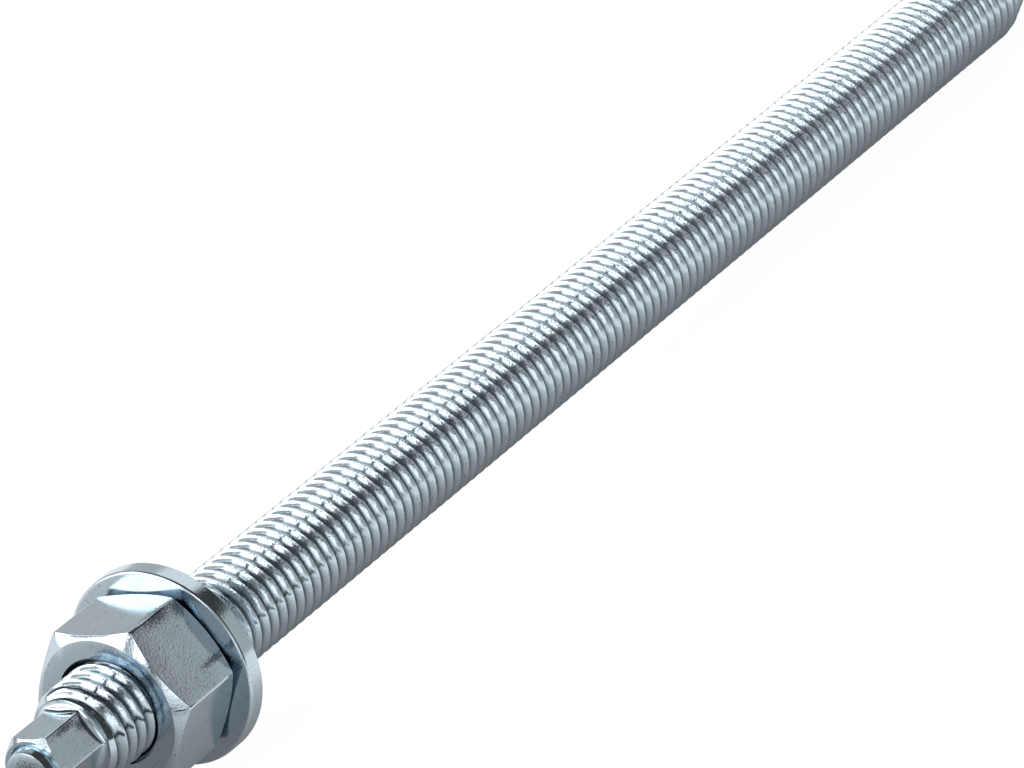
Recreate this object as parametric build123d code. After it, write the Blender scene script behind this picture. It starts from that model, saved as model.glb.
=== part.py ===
from build123d import *
import os
from math import cos, radians, tan

# Anchor rod: a threaded steel rod with a hexagon drive at one end and a tapered tip at the
# other, carrying a hexagon nut and a flat washer.
# Lengths are in millimetres and angles in degrees. The rod lies along X with its embedded
# tip towards +X. The origin is on the rod's axis, in the plane of the washer's bearing face.

# Threaded rod
crest_diameter = 11.86  # over the crests of an M12 thread
first_crest_drop = 0.22  # in diameter, because the thread starts slimmer at the drive end
full_crest_start = 1.0  # past the bearing face, where the full crest diameter is reached
thread_pitch = 1.75  # coarse series
thread_depth = 0.95  # crest to root
shank_length = 188.0  # full crest diameter, from the bearing face towards the tip
taper_length = 10.0
taper_end_diameter = 6.0
tip_edge = 0.4  # chamfer round the flat end of the taper
free_thread_length = 7.0  # thread that stands out of the nut

# Hexagon drive, formed in one piece with the rod
drive_across_flats = 7.6
drive_length = 7.1
drive_corner_radius = 0.35
drive_corner_angle = 43.7  # of one corner, from +Y towards +Z
drive_face_diameter = 7.3  # of the flat round the boss
drive_chamfer_angle = 45.0  # of the corners, from the end face
drive_root_fillet = 0.3

# Round boss on the end of the drive
boss_root_diameter = 6.1
boss_end_diameter = 5.7
boss_height = 1.1
boss_edge = 0.15
boss_groove_width = 0.25
boss_groove_depth = 0.3

# Hexagon nut
nut_across_flats = 18.0
nut_height = 10.6
nut_corner_radius = 0.5
nut_corner_angle = 43.2  # of one corner, from +Y towards +Z
nut_face_diameter = 17.0  # of the flat ring on each end face
nut_chamfer_angle = 38.0  # of the corners, from the end face
nut_thread_clearance = 0.05  # radial, between nut and rod
nut_countersink_diameter = 12.8
nut_countersink_angle = 45.0  # from the end face

# Flat washer
washer_diameter = 23.5
washer_bore_diameter = 13.0
washer_thickness = 2.3
washer_top_round = 0.35  # outer edge on the nut's side, rounded by the punch
washer_bearing_round = 0.12
washer_bore_edge = 0.15

# Places along the rod, from the drive end to the tip
nut_seat_x = -washer_thickness
nut_front_x = nut_seat_x - nut_height
drive_root_x = nut_front_x - free_thread_length
drive_face_x = drive_root_x - drive_length
boss_end_x = drive_face_x - boss_height
tip_x = shank_length + taper_length

crest_radius = crest_diameter / 2
root_radius = crest_radius - thread_depth
first_crest_radius = (crest_diameter - first_crest_drop) / 2


def turned(*half_section):
    """Solid turned about the rod's axis from the (x, radius) points of its half section."""
    outline = Polyline(*[(x, 0, radius) for x, radius in half_section], close=True)
    return revolve(make_face(outline), Axis.X)


def hexagon_bar(across_flats, corner_angle, corner_radius, x_low, x_high):
    """Hexagon bar along the rod's axis with rounded corners, one of them at corner_angle."""
    hexagon = RegularPolygon(across_flats / 2, 6, major_radius=False)
    hexagon = fillet(hexagon.vertices(), corner_radius)
    spread = Plane(origin=(x_low, 0, 0), x_dir=(0, 1, 0), z_dir=(1, 0, 0))
    return extrude(spread * Rot(0, 0, corner_angle) * hexagon, x_high - x_low)


def across_corners(across_flats):
    return across_flats / cos(radians(30))


def chamfer_drop(outer_radius, face_radius, angle):
    """Axial depth of a conical chamfer that starts at face_radius in the end face."""
    return (outer_radius - face_radius) * tan(radians(angle))


def make_shank():
    """The turned body: run-in at the drive end, full thread diameter, taper at the tip."""
    return turned(
        (drive_root_x, 0),
        (drive_root_x, root_radius),
        (drive_root_x + thread_pitch, first_crest_radius),
        (full_crest_start, crest_radius),
        (shank_length, crest_radius),
        (tip_x - tip_edge, taper_end_diameter / 2),
        (tip_x, taper_end_diameter / 2 - tip_edge),
        (tip_x, 0),
    )


def make_drive():
    """Hexagon drive with chamfered end corners and a grooved, slightly conical boss."""
    bar = hexagon_bar(
        drive_across_flats, drive_corner_angle, drive_corner_radius, drive_face_x, drive_root_x
    )
    reach = across_corners(drive_across_flats) / 2
    face_radius = drive_face_diameter / 2
    drop = chamfer_drop(reach, face_radius, drive_chamfer_angle)
    envelope = turned(
        (drive_face_x, 0),
        (drive_face_x, face_radius),
        (drive_face_x + drop, reach),
        (drive_root_x, reach),
        (drive_root_x, 0),
    )
    groove_floor_x = drive_face_x + boss_groove_depth
    groove_radius = boss_root_diameter / 2 + boss_groove_width
    groove = turned(
        (drive_face_x, boss_root_diameter / 2),
        (drive_face_x, groove_radius),
        (groove_floor_x, boss_root_diameter / 2),
    )
    boss = turned(
        (groove_floor_x, 0),
        (groove_floor_x, boss_root_diameter / 2),
        (drive_face_x, boss_root_diameter / 2),
        (boss_end_x + boss_edge, boss_end_diameter / 2),
        (boss_end_x, boss_end_diameter / 2 - boss_edge),
        (boss_end_x, 0),
    )
    return (bar & envelope) - groove + boss


def make_threaded_rod():
    rod = make_shank() + make_drive()
    drive_reach = across_corners(drive_across_flats) / 2
    root_edges = [
        edge
        for edge in rod.edges().filter_by_position(Axis.X, drive_root_x, drive_root_x)
        if Vector(0, edge.center().Y, edge.center().Z).length < drive_reach
        and edge.length < drive_reach * 1.2
    ]
    return fillet(root_edges, drive_root_fillet)


def make_hex_nut():
    """Nut with both end faces chamfered at the corners and both bore mouths countersunk."""
    bar = hexagon_bar(
        nut_across_flats, nut_corner_angle, nut_corner_radius, nut_front_x, nut_seat_x
    )
    reach = across_corners(nut_across_flats) / 2
    face_radius = nut_face_diameter / 2
    drop = chamfer_drop(reach, face_radius, nut_chamfer_angle)
    envelope = turned(
        (nut_front_x, 0),
        (nut_front_x, face_radius),
        (nut_front_x + drop, reach),
        (nut_seat_x - drop, reach),
        (nut_seat_x, face_radius),
        (nut_seat_x, 0),
    )
    bore_radius = crest_radius + nut_thread_clearance
    mouth_radius = nut_countersink_diameter / 2
    mouth_depth = chamfer_drop(mouth_radius, bore_radius, nut_countersink_angle)
    bore = turned(
        (nut_front_x, 0),
        (nut_front_x, mouth_radius),
        (nut_front_x + mouth_depth, bore_radius),
        (nut_seat_x - mouth_depth, bore_radius),
        (nut_seat_x, mouth_radius),
        (nut_seat_x, 0),
    )
    return (bar & envelope) - bore


def edges_by_length(solid, x):
    """Edges in the plane at x, the shortest first."""
    return solid.edges().filter_by_position(Axis.X, x, x).sort_by(SortBy.LENGTH)


def make_washer():
    """Punched washer, its outer edge well rounded on the nut's side only."""
    ring = turned(
        (nut_seat_x, washer_bore_diameter / 2),
        (nut_seat_x, washer_diameter / 2),
        (0, washer_diameter / 2),
        (0, washer_bore_diameter / 2),
    )
    ring = chamfer(edges_by_length(ring, nut_seat_x)[0], washer_bore_edge)
    ring = fillet(edges_by_length(ring, nut_seat_x)[-1], washer_top_round)
    return fillet(edges_by_length(ring, 0)[-1], washer_bearing_round)


pieces = {
    "threaded_rod": make_threaded_rod(),
    "hex_nut": make_hex_nut(),
    "washer": make_washer(),
}

os.makedirs("parts", exist_ok=True)
for name, solid in pieces.items():
    solid.label = name
    export_step(solid, f"parts/{name}.step")
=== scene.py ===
from math import atan, cos, pi, radians, sin, tan

import bmesh
import bpy
import numpy as np
from mathutils import Matrix, Vector


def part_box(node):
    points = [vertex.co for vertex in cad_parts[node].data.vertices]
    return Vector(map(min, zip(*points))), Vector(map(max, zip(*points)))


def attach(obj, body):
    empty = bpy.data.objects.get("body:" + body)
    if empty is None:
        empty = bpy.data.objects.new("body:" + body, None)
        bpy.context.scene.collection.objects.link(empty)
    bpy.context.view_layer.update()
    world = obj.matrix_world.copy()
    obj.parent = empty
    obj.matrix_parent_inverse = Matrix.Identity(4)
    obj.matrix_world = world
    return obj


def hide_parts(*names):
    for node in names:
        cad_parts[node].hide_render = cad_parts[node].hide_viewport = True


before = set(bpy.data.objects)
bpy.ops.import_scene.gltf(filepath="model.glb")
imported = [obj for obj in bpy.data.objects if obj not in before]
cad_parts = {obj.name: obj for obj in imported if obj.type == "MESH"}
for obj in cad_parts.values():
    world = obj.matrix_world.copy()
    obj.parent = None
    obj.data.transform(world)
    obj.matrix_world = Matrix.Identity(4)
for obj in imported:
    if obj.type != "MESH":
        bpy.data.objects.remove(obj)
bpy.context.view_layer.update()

# Anchor rod: threaded rod with a hexagon drive, hexagon nut and flat washer.
# Everything is in metres and in the frame of the CAD model: the rod lies along X with its
# tapered tip towards +X, and the washer's bearing face is at x = 0.

MM = 0.001

# Sizes read from the frame
rod_low, rod_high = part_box("threaded_rod")
nut_low, nut_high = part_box("hex_nut")
washer_low, washer_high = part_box("washer")
boss_end_x, tip_x = rod_low.x, rod_high.x
nut_front_x, nut_seat_x = nut_low.x, nut_high.x
washer_top_x, bearing_x = washer_low.x, washer_high.x
crest_radius = rod_high.z
washer_radius = washer_high.z

# Thread, right-handed, common to the rod and the nut
thread_pitch = 1.75 * MM
thread_depth = 0.95 * MM
crest_at = 0.30  # of a pitch past the bearing plane, where a crest crosses the +Y side
crest_half_flat = 0.09 * MM
crest_shoulder = (0.15 * MM, 0.05 * MM)  # distance from the crest's middle, depth
root_half_flat = 0.10 * MM
root_shoulder = (0.16 * MM, 0.05 * MM)  # distance from the root's middle, height over it
root_radius = crest_radius - thread_depth
spare_turns = 3  # rows worked out past each end, which are then drawn back to it

# Rod ends
first_crest_radius = 5.82 * MM
full_crest_x = bearing_x + 1.0 * MM
boss_height = 1.1 * MM
boss_root_radius = 3.05 * MM
boss_end_radius = 2.85 * MM
boss_edge = 0.15 * MM
boss_groove_width = 0.25 * MM
boss_groove_depth = 0.30 * MM
drive_apothem = 3.8 * MM
drive_length = 7.1 * MM
drive_corner_radius = 0.35 * MM
drive_corner_angle = radians(43.7)
drive_face_radius = 3.65 * MM
drive_chamfer_slope = tan(radians(45))
drive_root_stretch = 0.9  # of the curve from the flats to the thread, length over height
drive_root_share = 0.995  # of the thread's root radius, where that curve ends
drive_root_rows = 8
taper_length = 10.0 * MM
taper_end_radius = 3.0 * MM
tip_edge = 0.4 * MM
tip_thread_left = 0.4  # share of the thread's depth that is left at the tip's edge

# Nut
nut_apothem = 9.0 * MM
nut_corner_radius = 0.5 * MM
nut_corner_angle = radians(43.2)
nut_face_radius = 8.5 * MM
nut_chamfer = radians(32)  # from the end face
nut_mouth_radius = 6.4 * MM
nut_edge = 0.07 * MM  # worn round on each sharp edge
nut_shade = 0.25 * MM  # how far into the bore the painted shade begins
nut_chamfer_shade = 0.62  # of the full painted shade, at the rim of the chamfer that faces the washer
nut_thread_gap = 0.06 * MM  # between the two threads
nut_thread_crest_radius = 5.12 * MM

# Washer
washer_bore_radius = 6.5 * MM
washer_top_round = 0.35 * MM
washer_bearing_round = 0.12 * MM
washer_bore_edge = 0.15 * MM
washer_hang = (0.32 * MM, -0.36 * MM)  # off centre in y and z, within its clearance

# Places along the rod
drive_face_x = boss_end_x + boss_height
drive_root_x = drive_face_x + drive_length
taper_x = tip_x - taper_length
tip_edge_x = tip_x - tip_edge


# Thread form

def profile_knots():
    """(place, depth) of the thread's corners over one pitch, place as a share of a pitch."""
    half = thread_pitch / 2
    side = [
        (crest_half_flat, 0.0),
        crest_shoulder,
        ((crest_shoulder[0] + half - root_shoulder[0]) / 2, thread_depth / 2),
        (half - root_shoulder[0], thread_depth - root_shoulder[1]),
        (half - root_half_flat, thread_depth),
    ]
    ahead = [(place / thread_pitch, depth) for place, depth in side]
    behind = [(1 - place, depth) for place, depth in reversed(ahead)]
    return np.array(ahead + behind)


knots = profile_knots()


def thread_cut(x, angle):
    """Depth of the thread's groove under the crest at a place on the helix."""
    turn = (x / thread_pitch - crest_at - angle / (2 * pi)) % 1.0
    return np.interp(turn, knots[:, 0], knots[:, 1], period=1.0)


def thread_rows(angles, x_low, x_high, radius_at):
    """Block of rows along the helix between two planes across the rod, as skin() takes it.
    A row that would pass a plane stays in it."""
    first = int(np.floor(x_low / thread_pitch)) - spare_turns
    last = int(np.ceil(x_high / thread_pitch)) + spare_turns
    rows = (np.arange(first, last)[:, None] + knots[:, 0][None, :]).ravel()
    x = thread_pitch * (rows[:, None] + crest_at + angles[None, :] / (2 * pi))
    x = np.clip(x, x_low, x_high)
    return x, radius_at(x, angles[None, :] + 0 * x), len(knots)


def blank_radius(x):
    """Radius over the rod's crests."""
    return np.interp(
        x,
        [drive_root_x, full_crest_x, taper_x, tip_edge_x],
        [first_crest_radius, crest_radius, crest_radius, taper_end_radius],
    )


def run_in_radius(x):
    """Radius of the cone on which the thread starts at the drive end."""
    return root_radius + (x - drive_root_x) * (first_crest_radius - root_radius) / thread_pitch


def rod_radius(x, angle):
    """Radius of the threaded rod, its thread less deep towards the end of the taper."""
    fade = np.interp(x, [taper_x, tip_edge_x], [1.0, tip_thread_left])
    return np.minimum(blank_radius(x) - fade * thread_cut(x, angle), run_in_radius(x))


def rod_groove(x, radius):
    """Share of the thread's depth at which a point of the rod lies, 0 outside the thread; it sets
    the painted shade in the roots.
    """
    outline = np.minimum(blank_radius(x), run_in_radius(x))
    share = np.clip((outline - radius) / thread_depth, 0.0, 1.0)
    return np.where((x > drive_root_x) & (x < tip_edge_x), share, 0.0)


def nut_bore_radius(x, angle):
    """Radius of the nut's inner thread, opened to a cone at both mouths."""
    thread = crest_radius + nut_thread_gap - thread_cut(x, angle)
    thread = np.maximum(thread, nut_thread_crest_radius)
    to_face = np.minimum(x - nut_front_x, nut_seat_x - x)
    return np.maximum(thread, nut_mouth_radius - to_face)


def nut_painted_shade(x, radius):
    """Painted shade: 1 in the nut's bore and where its seat meets the washer, less on the
    chamfer between, and 0 outside."""
    in_bore = radius < nut_mouth_radius - nut_shade
    at_seat = (radius < nut_face_radius + nut_edge) & (x > nut_seat_x - nut_edge)
    chamfer_x = nut_seat_x - (radius - nut_face_radius) * tan(nut_chamfer)
    on_chamfer = (radius > nut_face_radius) & (x > chamfer_x - nut_edge / 2)
    return np.select([in_bore | at_seat, on_chamfer], [1.0, nut_chamfer_shade], 0.0)


# Hexagons

def corner_half_angle(apothem, corner_radius):
    """Angle from a hexagon's corner to where its rounding meets the flat."""
    return radians(30) - atan((apothem - corner_radius) * tan(radians(30)) / apothem)


def hexagon_angles(apothem, corner_radius, corner_angle, corner_steps, flat_steps):
    """Angles of the columns round a hexagon, close together on its rounded corners."""
    corner_half = corner_half_angle(apothem, corner_radius)
    corner = np.linspace(-corner_half, corner_half, corner_steps + 1)
    flat = np.linspace(corner_half, radians(60) - corner_half, flat_steps + 1)[1:-1]
    sector = np.concatenate([corner, flat])
    return np.concatenate([corner_angle + radians(60) * k + sector for k in range(6)])


def hexagon_radius(angles, apothem, corner_radius, corner_angle):
    """Polar radius of a hexagon with rounded corners."""
    from_corner = (angles - corner_angle + radians(30)) % radians(60) - radians(30)
    flat = apothem / np.cos(radians(30) - np.abs(from_corner))
    centre = (apothem - corner_radius) / cos(radians(30))
    reach = np.maximum(corner_radius**2 - (centre * np.sin(from_corner)) ** 2, 0.0)
    rounded = centre * np.cos(from_corner) + np.sqrt(reach)
    in_corner = np.abs(from_corner) < corner_half_angle(apothem, corner_radius)
    return np.where(in_corner, rounded, flat)


# Meshes

weld_distance = 1e-7
shortest_edge = 1e-8
large_face_weight = 90  # over 50, so that large faces keep the shading of flats
rod_crease = radians(38)  # an edge that turns by more than this stays sharp
plain_crease = radians(34)  # the same, on the nut and the washer
washer_columns = 160
round_middle = 0.3  # how far in the middle of a rounded edge lies, of its radius


def skin(name, angles, blocks, crease_angle):
    """Closed mesh round the X axis from blocks of rows. A block is (x, radius, shift): one
    value for each row and column, and by how many rows a row climbs in one turn. Blocks
    share their end rows, and what coincides is welded."""
    vertices, faces = [], []
    columns = len(angles)
    for x, radius, shift in blocks:
        base = sum(map(len, vertices))
        count = len(x)
        points = np.stack([x, radius * np.cos(angles), radius * np.sin(angles)], axis=-1)
        vertices.append(points.reshape(-1, 3))
        row, column = np.meshgrid(np.arange(count - 1), np.arange(columns), indexing="ij")
        following = (column + 1) % columns
        climb = np.where(following == 0, shift, 0)
        inside = (row + climb + 1 < count).ravel()
        quads = np.stack(
            [
                row * columns + column,
                (row + 1) * columns + column,
                (row + 1 + climb) * columns + following,
                (row + climb) * columns + following,
            ],
            axis=-1,
        ).reshape(-1, 4)
        faces.append(quads[inside] + base)
    mesh = bpy.data.meshes.new(name)
    mesh.from_pydata(np.concatenate(vertices).tolist(), [], np.concatenate(faces).tolist())
    shape = bmesh.new()
    shape.from_mesh(mesh)
    bmesh.ops.remove_doubles(shape, verts=shape.verts, dist=weld_distance)
    bmesh.ops.dissolve_degenerate(shape, edges=shape.edges, dist=shortest_edge)
    bmesh.ops.recalc_face_normals(shape, faces=shape.faces)
    shape.to_mesh(mesh)
    shape.free()
    mesh.shade_smooth()
    mesh.set_sharp_from_angle(angle=crease_angle)
    piece = bpy.data.objects.new(name, mesh)
    bpy.context.scene.collection.objects.link(piece)
    flats = piece.modifiers.new("flats", "WEIGHTED_NORMAL")
    flats.weight = large_face_weight
    flats.keep_sharp = True
    return piece


def mark_shade_depth(piece, share_at):
    """Keeps on each vertex how deep it lies in a groove or gap, from 0 to 1, as the share of
    painted shade it takes.
    """
    places = np.array([vertex.co for vertex in piece.data.vertices])
    shares = share_at(places[:, 0], np.hypot(places[:, 1], places[:, 2]))
    depth = piece.data.attributes.new("depth", "FLOAT", "POINT")
    depth.data.foreach_set("value", shares)


def rows_of(angles, *rows):
    """A block of plain rows, each given as (x, radius) with numbers or one value a column."""
    ones = np.ones(len(angles))
    x = np.array([row[0] * ones for row in rows])
    radius = np.array([row[1] * ones for row in rows])
    return x, radius, 0


def arc(centre_x, centre_radius, radius, start, end, steps):
    """(x, radius) points of a rounded edge seen in section, from one angle to another."""
    return [
        (centre_x + radius * cos(turn), centre_radius + radius * sin(turn))
        for turn in np.linspace(radians(start), radians(end), steps + 1)
    ]


def make_rod():
    """Rod from the boss over the drive and the thread to the flat end of the tip."""
    angles = hexagon_angles(
        drive_apothem, drive_corner_radius, drive_corner_angle, corner_steps=4, flat_steps=7
    )
    hexagon = hexagon_radius(angles, drive_apothem, drive_corner_radius, drive_corner_angle)
    chamfer_x = drive_face_x + (hexagon - drive_face_radius) * drive_chamfer_slope
    rise = root_radius * drive_root_share - hexagon
    root_rows = [
        (
            drive_root_x - drive_root_stretch * rise * (1 - sin(turn)),
            hexagon + rise * (1 - cos(turn)),
        )
        for turn in np.linspace(0, radians(90), drive_root_rows)
    ]
    drive = rows_of(
        angles,
        (boss_end_x, 0.0),
        (boss_end_x, boss_end_radius / 2),
        (boss_end_x, boss_end_radius - boss_edge),
        (boss_end_x + boss_edge * round_middle, boss_end_radius - boss_edge * round_middle),
        (boss_end_x + boss_edge, boss_end_radius),
        (drive_face_x, boss_root_radius),
        (drive_face_x + boss_groove_depth, boss_root_radius),
        (drive_face_x, boss_root_radius + boss_groove_width),
        (drive_face_x, drive_face_radius),
        (chamfer_x, hexagon),
        (chamfer_x + drive_length * 0.3, hexagon),
        (chamfer_x + drive_length * 0.6, hexagon),
        *root_rows,
        (drive_root_x, rod_radius(drive_root_x, angles)),
    )
    thread = thread_rows(angles, drive_root_x, tip_edge_x, rod_radius)
    tip = rows_of(
        angles,
        (tip_edge_x, rod_radius(tip_edge_x, angles)),
        (tip_x, taper_end_radius - tip_edge),
        (tip_x, taper_end_radius / 2),
        (tip_x, 0.0),
    )
    rod = skin("rod", angles, [drive, thread, tip], rod_crease)
    mark_shade_depth(rod, rod_groove)
    return rod


def make_nut():
    """Nut with both ends chamfered, its sharp edges worn round, and its inner thread."""
    angles = hexagon_angles(
        nut_apothem, nut_corner_radius, nut_corner_angle, corner_steps=6, flat_steps=10
    )
    hexagon = hexagon_radius(angles, nut_apothem, nut_corner_radius, nut_corner_angle)
    drop = (hexagon - nut_face_radius) * tan(nut_chamfer)
    cone_in = nut_edge * cos(nut_chamfer)
    cone_down = nut_edge * sin(nut_chamfer)
    facet = (nut_seat_x - nut_front_x) - 2 * drop
    outside = rows_of(
        angles,
        (nut_front_x, nut_mouth_radius),
        (nut_front_x, (nut_mouth_radius + nut_face_radius) / 2),
        (nut_front_x, nut_face_radius - nut_edge),
        (nut_front_x + cone_down, nut_face_radius + cone_in),
        (nut_front_x + drop - cone_down, hexagon - cone_in),
        (nut_front_x + drop + nut_edge, hexagon),
        (nut_front_x + drop + facet / 3, hexagon),
        (nut_front_x + drop + facet * 2 / 3, hexagon),
        (nut_seat_x - drop - nut_edge, hexagon),
        (nut_seat_x - drop + cone_down, hexagon - cone_in),
        (nut_seat_x - cone_down, nut_face_radius + cone_in),
        (nut_seat_x, nut_face_radius - nut_edge),
        (nut_seat_x, nut_mouth_radius),
    )
    bore = thread_rows(angles, nut_front_x, nut_seat_x, nut_bore_radius)
    nut = skin("nut", angles, [outside, bore], plain_crease)
    mark_shade_depth(nut, nut_painted_shade)
    return nut


def make_washer():
    """Washer with its rim well rounded on the nut's side, hung off the rod's axis."""
    angles = np.linspace(0, 2 * pi, washer_columns, endpoint=False)
    top_rim = arc(
        washer_top_x + washer_top_round,
        washer_radius - washer_top_round,
        washer_top_round,
        start=180,
        end=90,
        steps=5,
    )
    bearing_rim = arc(
        bearing_x - washer_bearing_round,
        washer_radius - washer_bearing_round,
        washer_bearing_round,
        start=90,
        end=0,
        steps=3,
    )
    ring = rows_of(
        angles,
        (washer_top_x + washer_bore_edge, washer_bore_radius),
        (washer_top_x, washer_bore_radius + washer_bore_edge),
        (washer_top_x, (washer_bore_radius + washer_radius) / 2),
        *top_rim,
        *bearing_rim,
        (bearing_x, (washer_bore_radius + washer_radius) / 2),
        (bearing_x, washer_bore_radius),
        (washer_top_x + washer_bore_edge, washer_bore_radius),
    )
    washer = skin("flat_washer", angles, [ring], plain_crease)
    washer.data.transform(Matrix.Translation((0.0, *washer_hang)))
    return washer


# Materials

zinc_bright = (0.58, 0.68, 0.75, 1.0)
zinc_dull = (0.14, 0.18, 0.21, 1.0)
# Painted shade, which darkens the plating deep in the thread's roots and in the nut's bore and
# seat
painted_shade = (0.06, 0.08, 0.10, 1.0)
painted_shade_depths = (0.38, 0.80)  # shares of the thread's depth between which the painted shade sets in
painted_shade_strength = 0.9  # of the painted shade colour, in the deepest places
cloud_size = 2.6 * MM  # of the patches in which the plating is duller
cloud_polish = (0.35, 0.65)  # cloud noise between which the roughness changes
cloud_flecks = (0.42, 0.60, 0.0, 0.8)  # cloud noise from and to, flecks shown from and to
fleck_size = 0.20 * MM
fleck_edge = (0.58, 0.68)  # fleck noise between which a fleck begins and is full
dense_fleck_edge = (0.50, 0.60)  # the same, where the flecks lie dense
dense_flecks = 0.85  # flecks shown there
blotch_middle = 0.62  # how much a dark blotch adds to the fleck noise in its middle
blotch_edge = (0.74, 1.02)  # their sum between which the blotch begins and is full
rod_flecks = (radians(117), 4.7 * MM, 5.6 * MM)  # direction, dense flecks from and to

# Dark blotches painted on the plating, each (x, angle, radius, reach along the rod, reach
# across it) in millimetres and degrees
rod_blotches = (  # on the drive's corner, by its root and on the boss's end
    (-23.2, 110, 4.2, 4.0, 1.1),
    (-21.2, 120, 4.1, 1.5, 1.5),
    (-28.1, 0, 0, 1.5, 3.4),
)
nut_blotches = (  # along a facet's upper edge, at its rear corner and near its lower edge
    (-7.0, 105, 10.1, 6.0, 1.9),
    (-4.0, 108, 9.9, 2.4, 2.6),
    (-4.6, 149.5, 9.4, 4.6, 0.9),
)


class Graph:
    """Short way to add and link shader nodes."""

    def __init__(self, owner):
        owner.use_nodes = True
        self.tree = owner.node_tree
        self.tree.nodes.clear()

    def put(self, socket, value):
        """Links an output to a socket, or sets the socket to a plain value."""
        if isinstance(value, bpy.types.NodeSocket):
            self.tree.links.new(value, socket)
        else:
            socket.default_value = value

    def node(self, kind, inputs=None, **settings):
        """Adds a node with its settings, and puts a value or a link on each input."""
        made = self.tree.nodes.new(kind)
        for key, value in settings.items():
            setattr(made, key, value)
        for key, value in (inputs or {}).items():
            self.put(made.inputs[key], value)
        return made

    def math(self, operation, *values):
        return self.node("ShaderNodeMath", dict(enumerate(values)), operation=operation).outputs[0]

    def vector(self, operation, *values):
        return self.node("ShaderNodeVectorMath", dict(enumerate(values)), operation=operation)

    def along(self, vector, direction):
        """How far a vector goes in a fixed direction."""
        return self.vector("DOT_PRODUCT", vector, direction).outputs["Value"]

    def noise(self, place, size, detail=3.0, rough=0.6):
        """Noise whose grains are about size across."""
        inputs = {"Vector": place, "Scale": 1 / size, "Detail": detail, "Roughness": rough}
        return self.node("ShaderNodeTexNoise", inputs).outputs["Fac"]

    def spread(self, value, low, high, to_low=0.0, to_high=1.0, course="SMOOTHSTEP"):
        """A value between low and high, spread from to_low to to_high."""
        inputs = {"Value": value, "From Min": low, "From Max": high}
        inputs.update({"To Min": to_low, "To Max": to_high})
        made = self.node("ShaderNodeMapRange", inputs, interpolation_type=course)
        return made.outputs["Result"]

    def blend(self, kind, share, first, second):
        """Mixes two numbers (kind FLOAT) or two colours (kind RGBA)."""
        made = self.node("ShaderNodeMix", data_type=kind)
        ending = {"FLOAT": "_Float", "RGBA": "_Color"}[kind]
        inputs = {socket.identifier: socket for socket in made.inputs}
        self.put(inputs["Factor_Float"], share)
        self.put(inputs["A" + ending], first)
        self.put(inputs["B" + ending], second)
        return [socket for socket in made.outputs if socket.identifier == "Result" + ending][0]

    def glow(self, strength, kind="ShaderNodeEmission"):
        """White light of a strength, from a surface or from the world."""
        return self.node(kind, {"Color": (1.0, 1.0, 1.0, 1.0), "Strength": strength}).outputs[0]

    def choose(self, share, first, second):
        """Mixes two shaders."""
        return self.node("ShaderNodeMixShader", {0: share, 1: first, 2: second}).outputs[0]

    def finish(self, shader, kind="ShaderNodeOutputMaterial"):
        """Makes a shader the one that shows."""
        self.node(kind, {"Surface": shader})


def blotch_share(graph, place, ragged, blotches):
    """How much of a surface is darkened by dark blotches, with edges broken up by ragged noise."""
    share = 0.0
    for x, angle, radius, length, reach in blotches:
        turn = radians(angle)
        squeeze = (reach / length, 1.0, 1.0)
        centre = (x * MM * squeeze[0], radius * MM * cos(turn), radius * MM * sin(turn))
        squeezed = graph.vector("MULTIPLY", place, squeeze).outputs["Vector"]
        away = graph.vector("DISTANCE", squeezed, centre).outputs["Value"]
        here = graph.spread(away, 0.0, reach * MM, blotch_middle, 0.0, "LINEAR")
        share = graph.math("MAXIMUM", share, here)
    return graph.spread(graph.math("ADD", share, ragged), *blotch_edge, course="LINEAR")


def zinc_steel(name, roughness, grain_size, grain_depth, fleck_side=None, blotches=()):
    """Bright zinc plating: cool metal with a fine grain, dull flecks in cloudy patches and
    perhaps dense on one side, and painted shade where it lies deep in a groove or gap."""
    material = bpy.data.materials.new(name)
    graph = Graph(material)
    place = graph.node("ShaderNodeTexCoord").outputs["Object"]
    grain = graph.noise(place, grain_size, detail=2.0, rough=0.65)
    cloud = graph.noise(place, cloud_size)
    fleck = graph.noise(place, fleck_size, detail=2.0)
    patch = graph.spread(cloud, *cloud_flecks)
    flecks = graph.math("MULTIPLY", graph.spread(fleck, *fleck_edge), patch)
    if fleck_side:
        angle, begin, full = fleck_side
        sideways = graph.along(place, (0.0, cos(angle), sin(angle)))
        dense = graph.spread(sideways, begin, full, 0.0, dense_flecks)
        more = graph.math("MULTIPLY", graph.spread(fleck, *dense_fleck_edge), dense)
        flecks = graph.math("MAXIMUM", flecks, more)
    marks = graph.math("MAXIMUM", flecks, blotch_share(graph, place, fleck, blotches))
    # Painted shade: darker deep in the rod's thread and in the nut's bore and seat, from the depth
    # mark
    depth = graph.node("ShaderNodeAttribute", attribute_name="depth").outputs["Fac"]
    shaded_share = graph.spread(depth, *painted_shade_depths, 0.0, painted_shade_strength)
    marked = graph.blend("RGBA", marks, zinc_bright, zinc_dull)
    relief = {"Height": grain, "Strength": 1.0, "Distance": grain_depth}
    inputs = {
        "Metallic": 1.0,
        "Roughness": graph.spread(cloud, *cloud_polish, *roughness),
        "Normal": graph.node("ShaderNodeBump", relief).outputs["Normal"],
        "Base Color": graph.blend("RGBA", shaded_share, marked, painted_shade),
    }
    graph.finish(graph.node("ShaderNodeBsdfPrincipled", inputs).outputs[0])
    return material


rod_steel = zinc_steel(
    "rod_steel",
    roughness=(0.06, 0.11),
    grain_size=0.22 * MM,
    grain_depth=0.007 * MM,
    fleck_side=rod_flecks,
    blotches=rod_blotches,
)
nut_steel = zinc_steel(
    "nut_steel",
    roughness=(0.07, 0.12),
    grain_size=0.30 * MM,
    grain_depth=0.015 * MM,
    blotches=nut_blotches,
)
washer_steel = zinc_steel(
    "washer_steel", roughness=(0.10, 0.16), grain_size=0.30 * MM, grain_depth=0.012 * MM
)

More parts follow.
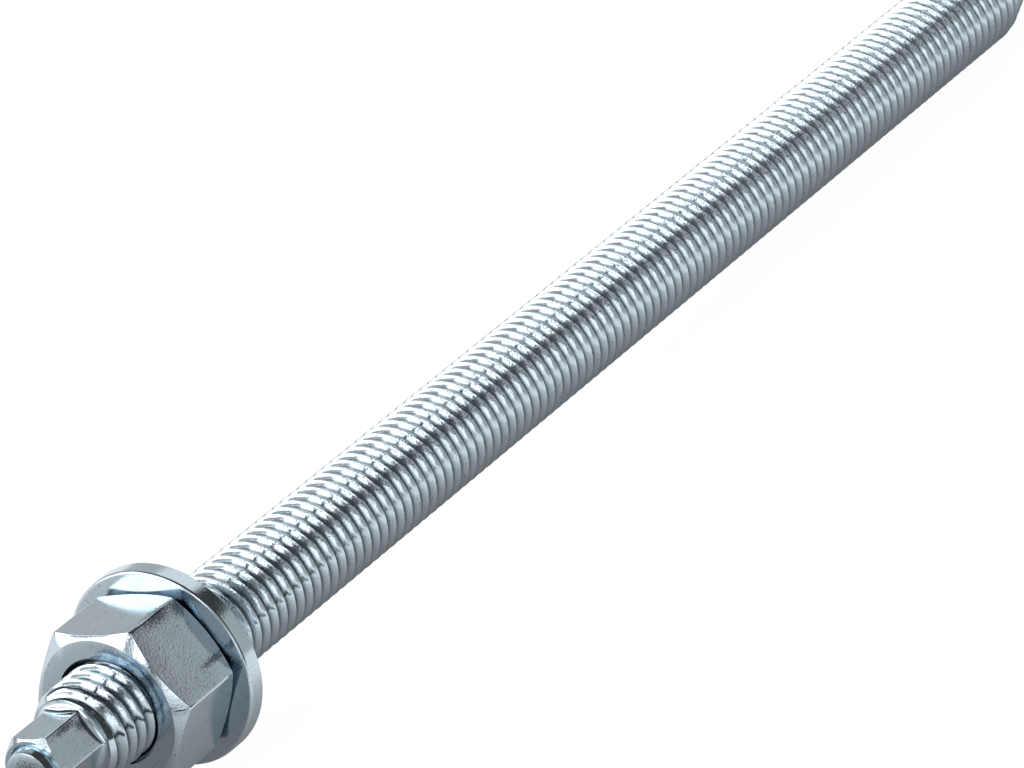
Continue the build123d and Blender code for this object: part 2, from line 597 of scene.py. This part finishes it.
pieces = (
    (make_rod(), "rod", "threaded_rod", "rod_steel", rod_steel),
    (make_nut(), "nut", "hex_nut", "nut_steel", nut_steel),
    (make_washer(), "washer", "washer", "washer_steel", washer_steel),
)
for piece, body, node, slot, material in pieces:
    piece.data.materials.append(material)
    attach(piece, body)
    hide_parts(node)


# Stage: a pale floor that the washer's rim and the far end of the thread both touch. In
# reflections it carries a painted shadow, darker beside the rod as it is under a real one.

floor_half = 4.0
floor_lean = (washer_radius - crest_radius) / (taper_x - bearing_x)
floor_shadow_near = (6 * MM, 0.22)  # painted shadow in reflections: distance beside the rod, reflected brightness
floor_shadow_far = (42 * MM, 1.0)
floor_shade = (-76 * MM, -59 * MM, 0.0)  # painted shade on it, reflected in the nut's edges
floor_shade_reach = (26 * MM, 44 * MM)
floor_shade_level = 0.03
floor_paper = (0.8, 0.8, 0.8, 1.0)
floor_seen_paper = (0.2, 0.2, 0.2, 1.0)  # to the camera, where it takes a faint shadow
floor_seen_glow = 0.95  # to the camera, so that it shows white


def make_floor():
    """Floor that is paper to diffuse light, with a painted shadow and painted shade in
    reflections, white to the camera.
    """
    corners = [(-floor_half, -floor_half), (floor_half, -floor_half)]
    corners += [(floor_half, floor_half), (-floor_half, floor_half)]
    vertices = [(x, y, -washer_radius + floor_lean * (x - bearing_x)) for x, y in corners]
    mesh = bpy.data.meshes.new("floor")
    mesh.from_pydata(vertices, [], [(0, 1, 2, 3)])
    floor = bpy.data.objects.new("floor", mesh)
    bpy.context.scene.collection.objects.link(floor)
    material = bpy.data.materials.new("floor")
    graph = Graph(material)
    rays = graph.node("ShaderNodeLightPath").outputs
    place = graph.node("ShaderNodeTexCoord").outputs["Object"]
    # Painted shadow beside the rod and a painted shade patch, both seen only in reflections
    beside = graph.math("ABSOLUTE", graph.along(place, (0.0, 1.0, 0.0)))
    near, near_level = floor_shadow_near
    far, far_level = floor_shadow_far
    level = graph.spread(beside, near, far, near_level, far_level, "LINEAR")
    away = graph.vector("DISTANCE", place, floor_shade).outputs["Value"]
    shade = graph.spread(away, *floor_shade_reach, floor_shade_level, 1.0)
    level = graph.math("MULTIPLY", level, shade)
    paper = graph.node("ShaderNodeBsdfDiffuse", {"Color": floor_paper}).outputs[0]
    faint = graph.node("ShaderNodeBsdfDiffuse", {"Color": floor_seen_paper}).outputs[0]
    glow = graph.glow(floor_seen_glow)
    seen = graph.node("ShaderNodeAddShader", {0: faint, 1: glow}).outputs[0]
    shown = graph.choose(rays["Is Glossy Ray"], paper, graph.glow(level))
    graph.finish(graph.choose(rays["Is Camera Ray"], shown, seen))
    mesh.materials.append(material)


make_floor()


# Studio: light panels and dark gaps round the object, each as (azimuth from +X, elevation,
# roll, half width, half height, softness, brightness), in degrees but for the brightness. A
# later one covers the ones before it.

studio_grey = 0.49
studio_panels = (
    # Dark on both sides of the rod and overhead
    (88, 40, 0, 16, 34, 8, 0.06),
    (-78, 34, 0, 24, 34, 8, 0.06),
    (0, 90, 0, 22, 40, 8, 0.06),
    # Round the drive end, as the thread's flanks reflect it
    (131, 17, 0, 31, 24, 5, 2.8),
    (127, 22, 37, 18, 4.5, 2, 0.52),
    (170, 32, 0, 3.5, 7, 2, 0.04),
    (-178.5, 28, 0, 7, 8, 2, 2.6),
    (-164.5, 22, 0, 5, 8, 2, 0.20),
    (165, 44, 0, 30, 6, 4, 1.75),
    (-151, 3, 0, 9, 13, 4, 1.5),
    (-145, 31, 0, 12, 10, 6, 0.46),
    # Round the tip, as the flats of the nut and the drive reflect it
    (41, 11, 0, 22, 16, 8, 0.57),
    (12, 42, 0, 22, 12, 8, 1.0),
    (-35, 18, 0, 26, 14, 5, 0.52),
    (-30, 44, 0, 20, 11, 5, 0.05),
)


def toward(azimuth, elevation):
    """Unit vector at an azimuth from +X and an elevation, both in radians."""
    reach = cos(elevation)
    return Vector((cos(azimuth) * reach, sin(azimuth) * reach, sin(elevation)))


def panel_share(graph, direction, azimuth, elevation, roll, half_width, half_height, softness):
    """1 inside a rectangular panel seen in a direction, 0 outside it."""
    azimuth, elevation, roll = radians(azimuth), radians(elevation), radians(roll)
    aim = toward(azimuth, elevation)
    level = toward(azimuth - radians(90), 0.0)
    upward = toward(azimuth, elevation + radians(90))
    side = level * cos(roll) - upward * sin(roll)
    up = level * sin(roll) + upward * cos(roll)
    ahead = graph.along(direction, aim)
    share = graph.math("GREATER_THAN", ahead, 0.0)
    for axis, half in ((side, half_width), (up, half_height)):
        off = graph.math("ABSOLUTE", graph.math("DIVIDE", graph.along(direction, axis), ahead))
        inner = tan(radians(half - softness / 2))
        outer = tan(radians(half + softness / 2))
        share = graph.math("MULTIPLY", share, graph.spread(off, inner, outer, 1.0, 0.0))
    return share


def make_world():
    """Studio to everything but the camera, which sees white."""
    world = bpy.data.worlds.new("studio")
    bpy.context.scene.world = world
    graph = Graph(world)
    direction = graph.node("ShaderNodeTexCoord").outputs["Generated"]
    light = studio_grey
    for *shape, brightness in studio_panels:
        light = graph.blend("FLOAT", panel_share(graph, direction, *shape), light, brightness)
    studio = graph.glow(light, "ShaderNodeBackground")
    white = graph.glow(1.0, "ShaderNodeBackground")
    rays = graph.node("ShaderNodeLightPath").outputs
    graph.finish(graph.choose(rays["Is Camera Ray"], studio, white), "ShaderNodeOutputWorld")


make_world()


# Camera: it looks along the rod from the drive end, down on it. Its place follows from the
# picture's own measures.

image_width, image_height = 1024, 768
focal_pixels = 7160
sensor_width = 36.0  # millimetres, as the camera takes it
camera_azimuth = radians(-59.24)  # of the picture's right
camera_elevation = radians(29.27)
seat_pixel = (162.4, 667.2)  # where the middle of the nut's seat shows
seat_depth = 774.64 * MM


def make_camera():
    """Camera that shows the middle of the nut's seat at seat_pixel, seat_depth away."""
    data = bpy.data.cameras.new("camera")
    data.lens = focal_pixels * sensor_width / image_width
    data.sensor_width = sensor_width
    data.clip_start = 0.05
    data.clip_end = 50.0
    camera = bpy.data.objects.new("camera", data)
    bpy.context.scene.collection.objects.link(camera)
    back = toward(camera_azimuth - radians(90), camera_elevation)
    right = toward(camera_azimuth, 0.0)
    up = back.cross(right)
    aside = (seat_pixel[0] - image_width / 2) * seat_depth / focal_pixels
    below = (seat_pixel[1] - image_height / 2) * seat_depth / focal_pixels
    seat = Vector((nut_seat_x, 0.0, 0.0))
    camera.matrix_world = Matrix((right, up, back)).transposed().to_4x4()
    camera.location = seat - right * aside + up * below + back * seat_depth
    bpy.context.scene.camera = camera


make_camera()
bpy.context.scene.view_settings.view_transform = "Standard"
